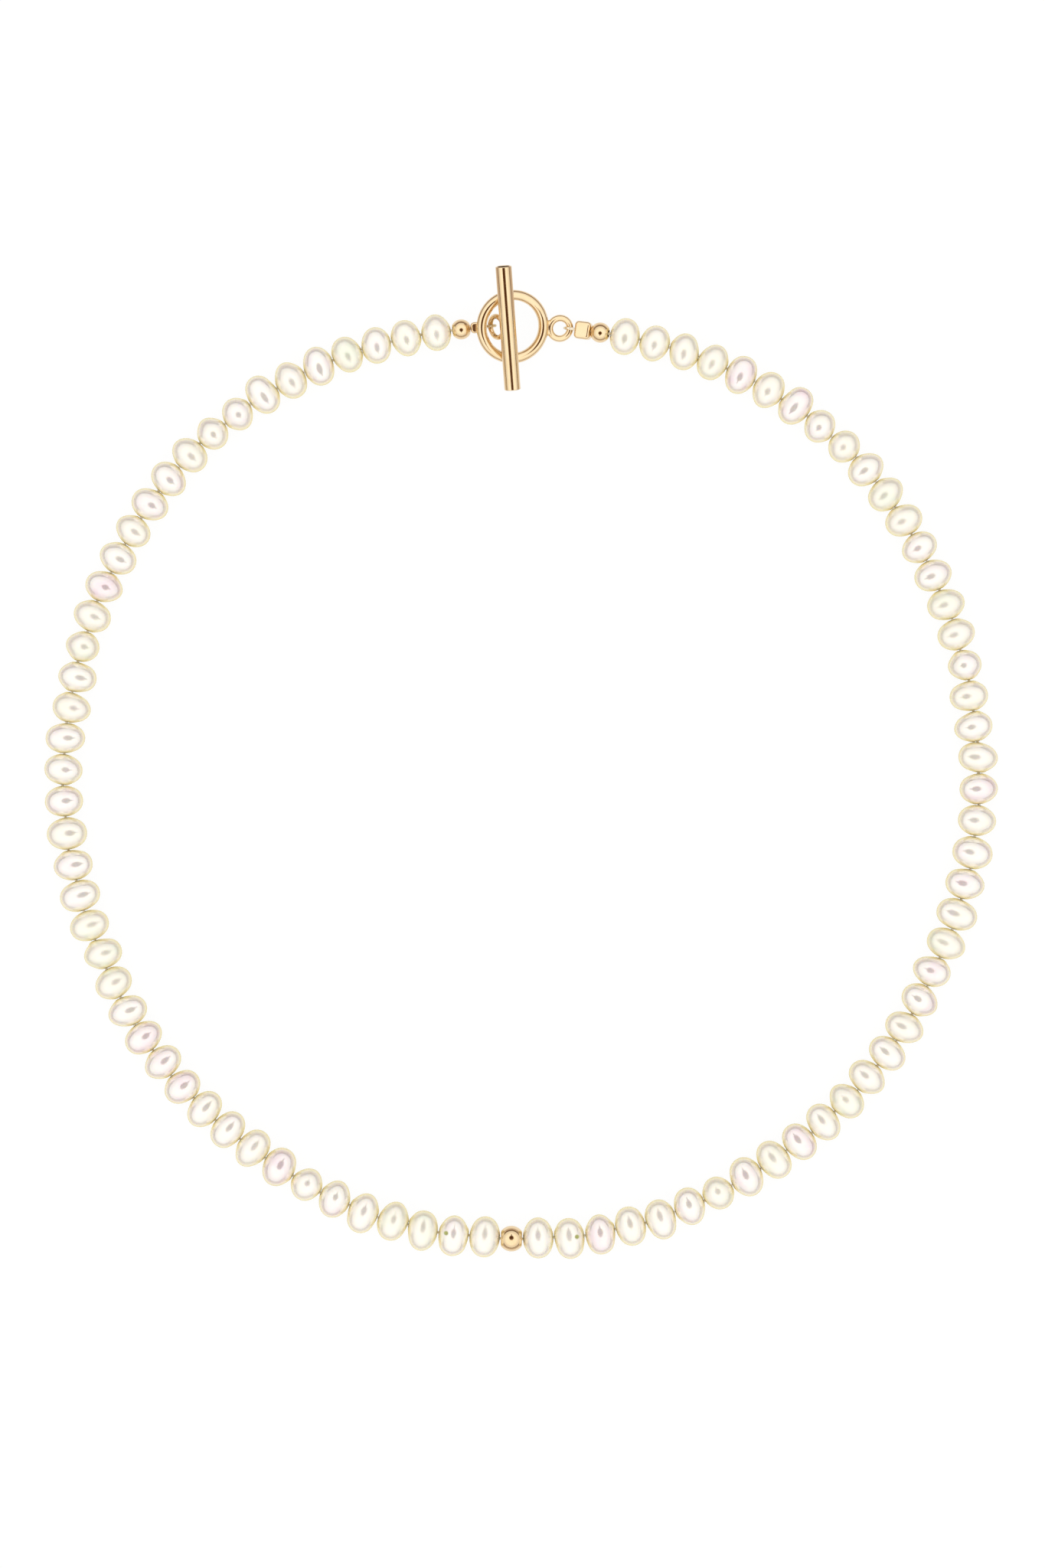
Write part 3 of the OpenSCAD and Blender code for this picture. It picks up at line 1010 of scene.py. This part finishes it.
class NECKLACE_OT_crimp_tubes(Operator):
    """Make the two pressed crimp tubes, each round the two wires in it"""

    bl_idname = "necklace.crimp_tubes"
    bl_label = "Crimp tubes"

    def execute(self, context):
        look = context.scene.necklace_gold
        material = material_of("polished_gold_filled", gold_material, look)
        for side, size in (("right", look.crimp_right), ("left", look.crimp_left)):
            half_w, half_h = (x * PER_MM / 2 for x in size)
            start, way, _ = wire_end(side)
            bm = bmesh.new()
            block = bmesh.ops.create_cube(bm, size=2.0)["verts"]
            bmesh.ops.scale(bm, vec=(CRIMP_LENGTH / 2, half_w, half_h), verts=block)
            upright = [e for e in bm.edges if abs(e.verts[0].co.z - e.verts[1].co.z) > half_h]
            round_edges(bm, upright, look.crimp_end * PER_MM, CORNER_STEPS)
            bm.normal_update()
            rims = list({e for f in bm.faces if abs(f.normal.z) > 0.5 for e in f.edges})
            # The rounding stays clear of the slot for the two wires
            most = half_h - 2 * WIRE_STEP - SLOT_ROOM
            round_edges(bm, rims, min(look.crimp_edge * PER_MM, most), CORNER_STEPS)
            bm.normal_update()
            ends = [f for f in bm.faces if abs(f.normal.x) > 0.999]
            bmesh.ops.delete(bm, geom=ends, context="FACES_ONLY")
            edges = [e for e in bm.edges if e.is_boundary]
            slots = []
            for x in (-CRIMP_LENGTH / 2, CRIMP_LENGTH / 2):
                turned = Matrix.Translation((x, 0, 0)) @ Matrix.Rotation(math.pi / 2, 4, "Y")
                made = bmesh.ops.create_circle(bm, segments=SLOT_STEPS * 2, radius=WIRE_STEP, matrix=turned)
                made = made["verts"]
                for vert in made:
                    vert.co.z += math.copysign(WIRE_STEP, vert.co.z) if abs(vert.co.z) > MERGE else 0.0
                slots.append(list({e for v in made for e in v.link_edges}))
                rim = [e for e in edges if e.verts[0].co.x * x > 0]
                bmesh.ops.bridge_loops(bm, edges=rim + slots[-1])
            bmesh.ops.bridge_loops(bm, edges=slots[0] + slots[1])
            middle = start + (CRIMP_START + CRIMP_LENGTH / 2) * way
            side_way = UP.cross(way).normalized()
            bmesh.ops.transform(bm, matrix=basis(way, side_way, middle), verts=bm.verts)
            add_piece(f"{side}_crimp_gold", bm, material, f"{side}_wire_end", f"{side}_crimp_tube")
        return {"FINISHED"}


# ---- Toggle clasp ----

# Half sizes of the solder at each eye, and how far out its middle stands from the ring or bar
RING_SOLDER = (0.38, 1.1, 0.42)
RING_SOLDER_OUT = 0.05
BAR_SOLDER = (0.75, 0.16, 0.42)
BAR_SOLDER_OUT = 0.02


def make_torus(bm, outside, wire, look):
    """A round ring of wire in the XY plane."""
    section = bmesh.ops.create_circle(
        bm,
        segments=look.round_steps // 2,
        radius=wire / 2,
        matrix=Matrix.Translation(((outside - wire) / 2, 0, 0)) @ Matrix.Rotation(math.pi / 2, 4, "X"),
    )["verts"]
    edges = list({e for v in section for e in v.link_edges})
    bmesh.ops.spin(
        bm,
        geom=section + edges,
        cent=(0, 0, 0),
        axis=(0, 0, 1),
        angle=math.tau,
        steps=2 * look.round_steps,
        use_merge=True,
    )


def make_solder(name, place, halves, body, node, look, material):
    """The smooth fillet of solder where an eye meets what carries it, of these half sizes."""
    bm = bmesh.new()
    round_steps = look.round_steps // 2
    bmesh.ops.create_uvsphere(bm, u_segments=round_steps, v_segments=round_steps // 2, radius=1.0)
    bmesh.ops.scale(bm, vec=halves, verts=bm.verts)
    bmesh.ops.transform(bm, matrix=place, verts=bm.verts)
    add_piece(name, bm, material, body, node)


class NECKLACE_OT_clasp_ring(Operator):
    """Make the clasp's ring and its small soldered eye"""

    bl_idname = "necklace.clasp_ring"
    bl_label = "Clasp ring"

    def execute(self, context):
        look = context.scene.necklace_gold
        material = material_of("polished_gold_filled", gold_material, look)
        mount = next(m for m in frame["record"]["mounts"] if m["name"] == "clasp_ring_opening")
        middle = Vector(mount["pos_m"]) * PER_MM
        normal = Vector(mount["axis"]).normalized()
        reach = joint_at("clasp_ring_swing") - middle
        out = reach.normalized()
        across = normal.cross(out)
        ring_d, ring_wire = look.ring_d * PER_MM, look.ring_wire * PER_MM
        eye_d, eye_wire = look.ring_eye_d * PER_MM, look.ring_eye_wire * PER_MM

        bm = bmesh.new()
        make_torus(bm, ring_d, ring_wire, look)
        bmesh.ops.transform(bm, matrix=basis(out, across, middle), verts=bm.verts)
        add_piece("clasp_ring_gold", bm, material, "clasp_ring", "toggle_ring")

        eye_at = middle + (reach.length - (eye_d - eye_wire) / 2) * out
        bm = bmesh.new()
        make_torus(bm, eye_d, eye_wire, look)
        bmesh.ops.transform(bm, matrix=basis(out, across, eye_at), verts=bm.verts)
        add_piece("ring_eye_gold", bm, material, "clasp_ring", "toggle_ring_eye")

        place = basis(out, across, middle + (ring_d / 2 + RING_SOLDER_OUT) * out)
        make_solder("ring_eye_solder", place, RING_SOLDER, "clasp_ring", "toggle_ring_eye", look, material)
        return {"FINISHED"}


class NECKLACE_OT_clasp_bar(Operator):
    """Make the clasp's hollow bar and its small soldered eye"""

    bl_idname = "necklace.clasp_bar"
    bl_label = "Clasp bar"

    def execute(self, context):
        look = context.scene.necklace_gold
        material = material_of("polished_gold_filled", gold_material, look)
        points = node_points("toggle_bar")
        middle = sum(points, Vector()) / len(points)
        far = [p for p in points if p.y > middle.y]
        reach = sum(far, Vector()) / len(far) - middle
        way, half_l = reach.normalized(), reach.length
        to_eye = joint_at("clasp_bar_swing") - middle
        to_eye -= to_eye.dot(way) * way
        out = to_eye.normalized()
        bar_r, bore_r = look.bar_d * PER_MM / 2, (look.bar_d / 2 - look.bar_wall) * PER_MM
        eye_d, eye_wire = look.bar_eye_d * PER_MM, look.bar_eye_wire * PER_MM

        bm = bmesh.new()
        wall = [(half_l, bar_r), (-half_l, bar_r), (-half_l, bore_r), (half_l, bore_r)]
        spin_outline(bm, wall, look.round_steps)
        bmesh.ops.remove_doubles(bm, verts=bm.verts, dist=MERGE)
        bevel_rims(bm, [(x, r) for x in (-half_l, half_l) for r in (bar_r, bore_r)], look.edge * PER_MM)
        bore = bm.verts.layers.float.new("bore")
        for vert in bm.verts:
            inside = math.hypot(vert.co.y, vert.co.z) < bore_r + MERGE
            vert[bore] = 1.0 if inside and abs(vert.co.x) < half_l - MERGE else 0.0
        bmesh.ops.transform(bm, matrix=basis(way, out, middle), verts=bm.verts)
        add_piece("clasp_bar_gold", bm, material, "clasp_bar", "toggle_bar")

        # The eye stands on the bar, and what would reach into the bore is pressed into the wall
        bm = bmesh.new()
        make_torus(bm, eye_d, eye_wire, look)
        bmesh.ops.translate(bm, vec=(0, to_eye.length - (eye_d - eye_wire) / 2, 0), verts=bm.verts)
        wall_r = (bar_r + bore_r) / 2
        for vert in bm.verts:
            around = math.hypot(vert.co.y, vert.co.z)
            if around < wall_r:
                vert.co.y *= wall_r / around
                vert.co.z *= wall_r / around
        bmesh.ops.transform(bm, matrix=basis(way, out, middle), verts=bm.verts)
        add_piece("bar_eye_gold", bm, material, "clasp_bar", "toggle_bar_eye")

        place = basis(way, out, middle + (bar_r + BAR_SOLDER_OUT) * out)
        make_solder("bar_eye_solder", place, BAR_SOLDER, "clasp_bar", "toggle_bar_eye", look, material)
        return {"FINISHED"}


# ---- Beading wire ----


def round_ended(points, radius):
    """Stations along a path, with a half ball at each end."""
    caps = [math.radians(a) for a in (85, 60, 30)]
    first, last = (points[0] - points[1]).normalized(), (points[-1] - points[-2]).normalized()
    start = [(points[0] + radius * math.sin(a) * first, radius * math.cos(a)) for a in caps]
    end = [(points[-1] + radius * math.sin(a) * last, radius * math.cos(a)) for a in reversed(caps)]
    return start + [(p, radius) for p in points] + end


class WireSettings(PropertyGroup):
    """Size and colours of the beading wire"""

    diameter: FloatProperty(
        name="Wire", description="Its diameter", default=0.4 * MM, min=0.0001, unit="LENGTH"
    )
    sides: IntProperty(name="Facets round", description="Faces round the wire", default=16, min=6, max=48)
    colour: FloatVectorProperty(
        name="Wire", description="Strand colour", subtype="COLOR", size=3, default=linear("#F6EAD2")[:3]
    )
    # The painted shade colour in the grooves between the strands
    dark: FloatVectorProperty(
        name="Lay", description="Between the strands", subtype="COLOR", size=3, default=linear("#DCC79C")[:3]
    )


class NECKLACE_OT_beading_wire(Operator):
    """Make the beading wire, one length to each body that it runs through"""

    bl_idname = "necklace.beading_wire"
    bl_label = "Beading wire"

    def execute(self, context):
        look = context.scene.necklace_wire
        material = material_of("coated_beading_wire", wire_material, look)
        radius = look.diameter * PER_MM / 2
        lengths = [("wire_front", "root", [corner("left", 0), corner("right", 0)])]
        for side in SIDES:
            for pair in range(1, PAIRS + 1):
                stretch = [corner(side, pair - 1), corner(side, pair)]
                lengths.append((f"wire_{side}_{pair:02d}", f"{side}_pearls_{pair:02d}", stretch))
            start, way, loop_at = wire_end(side)
            gold = context.scene.necklace_gold
            eye = gold.ring_eye_wire if side == "right" else gold.bar_eye_wire
            loop_r = eye * PER_MM / 2 + radius + LOOP_PLAY[side]
            over = way.cross(Vector((-way.y, way.x, 0)).normalized())
            turn = range(LOOP_OPEN, -LOOP_OPEN - 1, -LOOP_TURN)
            plan = [(0, 0), (WIRE_RISE, WIRE_STEP), (CRIMP_END, WIRE_STEP)]
            for a in map(math.radians, turn):
                plan.append((loop_at + loop_r * math.cos(a), loop_r * math.sin(a)))
            plan += [(CRIMP_END, -WIRE_STEP), (WIRE_TIP, -WIRE_STEP)]
            path = [start + a * way + b * over for a, b in plan]
            lengths.append((f"wire_{side}_loop", f"{side}_wire_end", path))
        for name, body, path in lengths:
            bm = bmesh.new()
            sweep(bm, round_ended(path, radius), look.sides)
            add_piece(name, bm, material, body, "wire")
        return {"FINISHED"}


# ---- Stage ----

# Where the tent's top, sides and open edge start and end, as shares of the way down from overhead
TENT_STOPS = (0.0, 0.5, 0.76, 0.86, 0.93, 1.0)
# Half the width of the floor, in metres
FLOOR_REACH = 2.0
# Where the camera stands over the table, in metres, and its turn about its own axis, in degrees
CAMERA_OVER = (0.2 * MM, -2.8 * MM)
CAMERA_TURN = 1.21
# Radius of the lens barrel's lower end over its upper end's
BARREL_TAPER = 10


def add_stage_piece(name, bm, material):
    """Finishes a mesh made in metres as an object that isn't part of the necklace."""
    mesh = bpy.data.meshes.new(name)
    bm.to_mesh(mesh)
    bm.free()
    mesh.materials.append(material)
    piece = bpy.data.objects.new(name, mesh)
    bpy.context.scene.collection.objects.link(piece)
    return piece


class StageSettings(PropertyGroup):
    """Floor, light and camera"""

    floor: FloatVectorProperty(
        name="Floor", description="Colour of the card", subtype="COLOR", size=3, default=linear("#E4E4E3")[:3]
    )
    white: FloatProperty(
        name="Floor white",
        description="Share of plain white in the card as it is seen",
        default=0.9,
        min=0.0,
        max=1.0,
    )
    shine: FloatProperty(
        name="Floor shine",
        description="Share of plain white in the card as metal shows it",
        default=0.85,
        min=0.0,
        max=1.0,
    )
    far: FloatVectorProperty(
        name="Far card",
        description="How metal shows the card a centimetre off and more",
        subtype="COLOR",
        size=3,
        default=linear("#C2AEA4")[:3],
    )
    tent: FloatProperty(
        name="Tent top", description="Brightness of the light tent overhead", default=1.3, min=0.01
    )
    side: FloatProperty(name="Tent side", description="Brightness of the tent's sides", default=0.95, min=0.0)
    dim: FloatVectorProperty(
        name="Tent edge",
        description="The room under the tent's open edge",
        subtype="COLOR",
        size=3,
        default=linear("#7A6558")[:3],
    )
    lean: FloatProperty(
        name="Tent lean", description="Degrees that the tent's edge stands lower at the front", default=5.0
    )
    flag: FloatProperty(
        name="Lens hood",
        description="Radius of the dark hood round the lens",
        default=0.12,
        min=0.0,
        unit="LENGTH",
    )
    flag_at: FloatProperty(
        name="Hood height", description="Its height over the table", default=0.3, min=0.05, unit="LENGTH"
    )
    barrel: FloatProperty(
        name="Lens barrel",
        description="Radius of the lens barrel that hangs under the hood",
        default=0.035,
        min=0.0,
        unit="LENGTH",
    )
    barrel_at: FloatProperty(
        name="Barrel height",
        description="Height of its lower end over the table",
        default=0.07,
        min=0.03,
        unit="LENGTH",
    )
    height: FloatProperty(
        name="Camera height", description="Above the pearls", default=1.0, min=0.1, unit="LENGTH"
    )
    view: FloatProperty(
        name="View",
        description="Length of table from the frame's top to its bottom",
        default=0.212,
        min=0.01,
        unit="LENGTH",
    )


class NECKLACE_OT_stage(Operator):
    """Make the floor, the light tent and the camera"""

    bl_idname = "necklace.stage"
    bl_label = "Stage"

    def execute(self, context):
        look = context.scene.necklace_stage
        scene = context.scene
        bm = bmesh.new()
        bmesh.ops.create_grid(bm, x_segments=8, y_segments=8, size=FLOOR_REACH)
        add_stage_piece("floor_card", bm, material_of("matt_white_card", floor_material, look))

        bm = bmesh.new()
        bmesh.ops.create_circle(bm, cap_ends=True, segments=64, radius=look.flag)
        bmesh.ops.translate(bm, vec=(0, 0, look.flag_at), verts=bm.verts)
        drop = look.flag_at - look.barrel_at
        middle = Matrix.Translation((0, 0, look.flag_at - drop / 2))
        bmesh.ops.create_cone(
            bm,
            cap_ends=True,
            segments=32,
            radius1=look.barrel / BARREL_TAPER,
            radius2=look.barrel,
            depth=drop,
            matrix=middle,
        )
        hood = add_stage_piece("lens_hood", bm, material_of("brown_velvet_hood", hood_material, look))
        # It shows in what shines and is out of the camera's view
        hood.visible_camera = hood.visible_diffuse = hood.visible_transmission = False

        world = bpy.data.worlds.new("light_tent")
        scene.world = world
        world.use_nodes = True
        tree = world.node_tree
        tree.nodes.clear()
        way = add_node(tree, "ShaderNodeTexCoord").outputs["Generated"]
        # The tent's open edge stands a little lower towards the front
        lean = math.radians(look.lean)
        axis = (0.0, -math.sin(lean), math.cos(lean))
        toward = add_node(
            tree,
            "ShaderNodeVectorMath",
            operation="DOT_PRODUCT",
            inputs={1: axis},
            links={0: way},
        ).outputs["Value"]
        angle = add_node(tree, "ShaderNodeMath", operation="ARCCOSINE", links={0: toward}).outputs[0]
        share = add_node(
            tree,
            "ShaderNodeMath",
            operation="DIVIDE",
            inputs={1: math.pi / 2},
            links={0: angle},
        ).outputs[0]
        ramp = add_node(tree, "ShaderNodeValToRGB", links={"Fac": share})
        top, side = ((v / look.tent,) * 3 + (1.0,) for v in (look.tent, look.side))
        dim = (*(v / look.tent for v in look.dim), 1.0)
        set_ramp(ramp, list(zip(TENT_STOPS, (top, top, side, side, dim, dim))))
        light = add_node(
            tree,
            "ShaderNodeBackground",
            inputs={"Strength": look.tent},
            links={"Color": ramp.outputs["Color"]},
        )
        white = add_node(tree, "ShaderNodeBackground", inputs={"Color": (1, 1, 1, 1), "Strength": 1.0})
        path = add_node(tree, "ShaderNodeLightPath")
        mixed = add_node(
            tree,
            "ShaderNodeMixShader",
            links={
                0: path.outputs["Is Camera Ray"],
                1: light.outputs["Background"],
                2: white.outputs["Background"],
            },
        )
        add_node(tree, "ShaderNodeOutputWorld", links={"Surface": mixed.outputs["Shader"]})

        data = bpy.data.cameras.new("camera_overhead")
        data.sensor_width = 36.0
        data.lens = data.sensor_width * look.height / look.view
        data.clip_start, data.clip_end = 0.01, 10.0
        camera = bpy.data.objects.new("camera_overhead", data)
        pearl_middle = corner("right", 0).z * MM
        camera.location = (*CAMERA_OVER, look.height + pearl_middle)
        camera.rotation_euler = (0, 0, math.radians(CAMERA_TURN))
        scene.collection.objects.link(camera)
        scene.camera = camera
        scene.view_settings.view_transform = "Standard"
        return {"FINISHED"}


# ---- Add-on ----

STEPS = (
    NECKLACE_OT_pearls,
    NECKLACE_OT_gold_beads,
    NECKLACE_OT_crimp_tubes,
    NECKLACE_OT_clasp_ring,
    NECKLACE_OT_clasp_bar,
    NECKLACE_OT_beading_wire,
    NECKLACE_OT_stage,
)
SETTINGS = {
    "necklace_pearls": PearlSettings,
    "necklace_gold": GoldSettings,
    "necklace_wire": WireSettings,
    "necklace_stage": StageSettings,
}


class NECKLACE_PT_sidebar(Panel):
    """Lists the necklace's pieces in the sidebar"""

    bl_label = "Pearl Necklace"
    bl_idname = "NECKLACE_PT_sidebar"
    bl_space_type = "VIEW_3D"
    bl_region_type = "UI"
    bl_category = "Necklace"

    def draw(self, context):
        for step in STEPS:
            self.layout.operator(step.bl_idname)
        for name, group in SETTINGS.items():
            box = self.layout.box()
            box.label(text=group.__doc__)
            for prop in group.__annotations__:
                box.prop(getattr(context.scene, name), prop)


CLASSES = (*SETTINGS.values(), *STEPS, NECKLACE_PT_sidebar)


def register():
    """Registers the classes and hangs the settings on the scene."""
    for cls in CLASSES:
        bpy.utils.register_class(cls)
    for name, group in SETTINGS.items():
        setattr(bpy.types.Scene, name, PointerProperty(type=group))


def unregister():
    """Takes the settings and the classes away again."""
    for name in SETTINGS:
        delattr(bpy.types.Scene, name)
    for cls in reversed(CLASSES):
        bpy.utils.unregister_class(cls)


def main():
    """Builds every piece round the frame."""
    register()
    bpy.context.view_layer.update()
    for step in STEPS:
        group, name = step.bl_idname.split(".")
        getattr(getattr(bpy.ops, group), name)()


if __name__ == "__main__":
    main()
